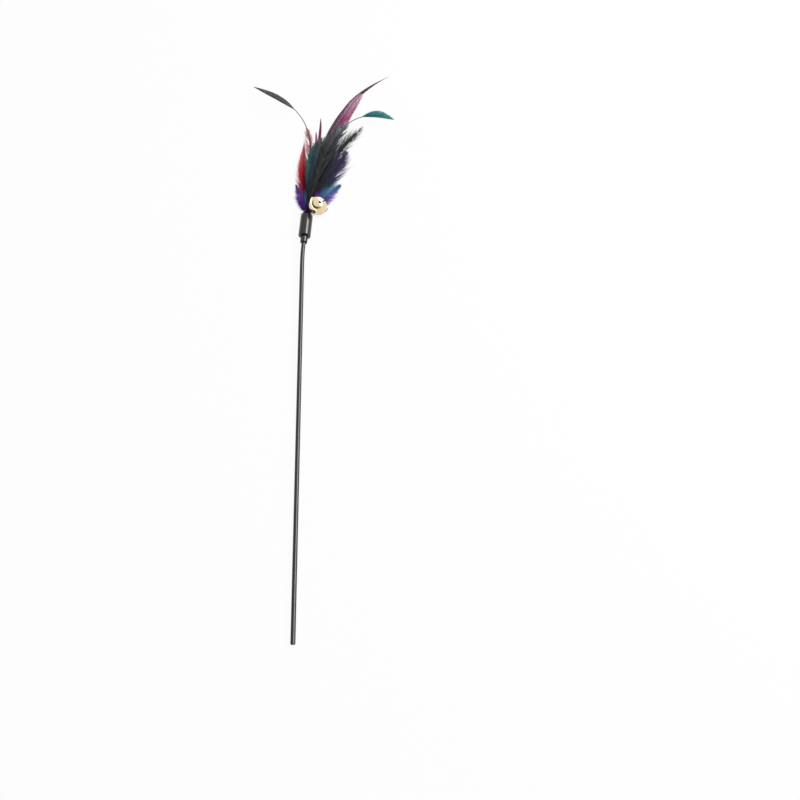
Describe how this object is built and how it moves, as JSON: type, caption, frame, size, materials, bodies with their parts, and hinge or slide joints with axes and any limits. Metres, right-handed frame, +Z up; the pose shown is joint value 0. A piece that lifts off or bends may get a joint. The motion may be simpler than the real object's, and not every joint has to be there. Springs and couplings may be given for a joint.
{
  "type": "cat teaser wand",
  "caption": "Slim straight rod with a bunch of dyed feathers and a round jingle bell bound into a sleeve at its head, for teasing a cat.",
  "frame": {"origin": "centre of the flat butt end of the rod", "axes": "+Y along the rod from the butt to the head, +Z up as the wand lies on a table, +X to the side that the bell hangs on"},
  "size_m": [0.177, 0.6823, 0.0274],
  "materials": {
    "black_plastic": "gloss",
    "hot_glue": "satin",
    "black_thread": "twisted thread",
    "black_cord": "twisted cord",
    "gold_bell": "polished, pale gold",
    "gold_wire": "polished, pale gold",
    "steel_pellet": "plain",
    "violet_hackle": "dyed feather, soft sheen",
    "indigo_hackle": "dyed feather, soft sheen",
    "red_hackle": "dyed feather, soft sheen",
    "plum_coque": "dyed feather, soft sheen",
    "teal_coque": "dyed feather, soft sheen",
    "magenta_feather": "dyed feather, soft sheen",
    "brown_coque": "dyed feather, soft sheen",
    "mauve_spike": "dyed feather, soft sheen",
    "crimson_spike": "dyed feather, soft sheen",
    "black_hackle": "dyed feather, soft sheen",
    "teal_black_hackle": "dyed feather, soft sheen",
    "slate_hackle": "dyed feather, soft sheen"
  },
  "bodies": {
    "wand": {"rod": "black_plastic", "collar": "black_plastic", "sleeve": "black_plastic", "glue_plug": "hot_glue", "binding": "black_thread", "violet_left": "violet_hackle", "indigo_right": "indigo_hackle", "violet_right": "violet_hackle", "red_side": "red_hackle", "coque_plum": "plum_coque", "coque_teal": "teal_coque", "magenta": "magenta_feather", "red_long": "red_hackle", "coque_left": "brown_coque", "spike_mauve": "mauve_spike", "spike_crimson": "crimson_spike", "black_right": "black_hackle", "black_left": "teal_black_hackle", "black_centre": "black_hackle", "black_front": "black_hackle", "slate": "slate_hackle"},
    "tie": {"tie_cord": "black_cord", "cord_tail": "black_cord"},
    "lug": {"bell_lug": "gold_wire"},
    "bell": {"bell_front_shell": "gold_bell", "bell_back_shell": "gold_bell"},
    "pellet": {"bell_pellet": "steel_pellet"}
  },
  "joints": [
    {"name": "tie_turn", "type": "hinge", "parent": "wand", "child": "tie", "pos_m": [0.00438, 0.48613, 0], "axis": [-0.0837, -0.9965, 0], "range_deg": [0, 110]},
    {"name": "bell_sway", "type": "hinge", "parent": "tie", "child": "lug", "pos_m": [0.0094, 0.49294, 0.00094], "axis": [-0.2072, 0.0174, 0.9781], "range_deg": [-6, 12]},
    {"name": "bell_twist", "type": "hinge", "parent": "lug", "child": "bell", "pos_m": [0.01837, 0.49407, 0.0095], "axis": [0.7208, 0.0911, 0.6871], "range_deg": [-90, 90]},
    {"name": "pellet_rattle", "type": "slide", "parent": "bell", "child": "pellet", "axis": [0, 0, 1], "range_m": [0, 0.0147]}
  ]
}
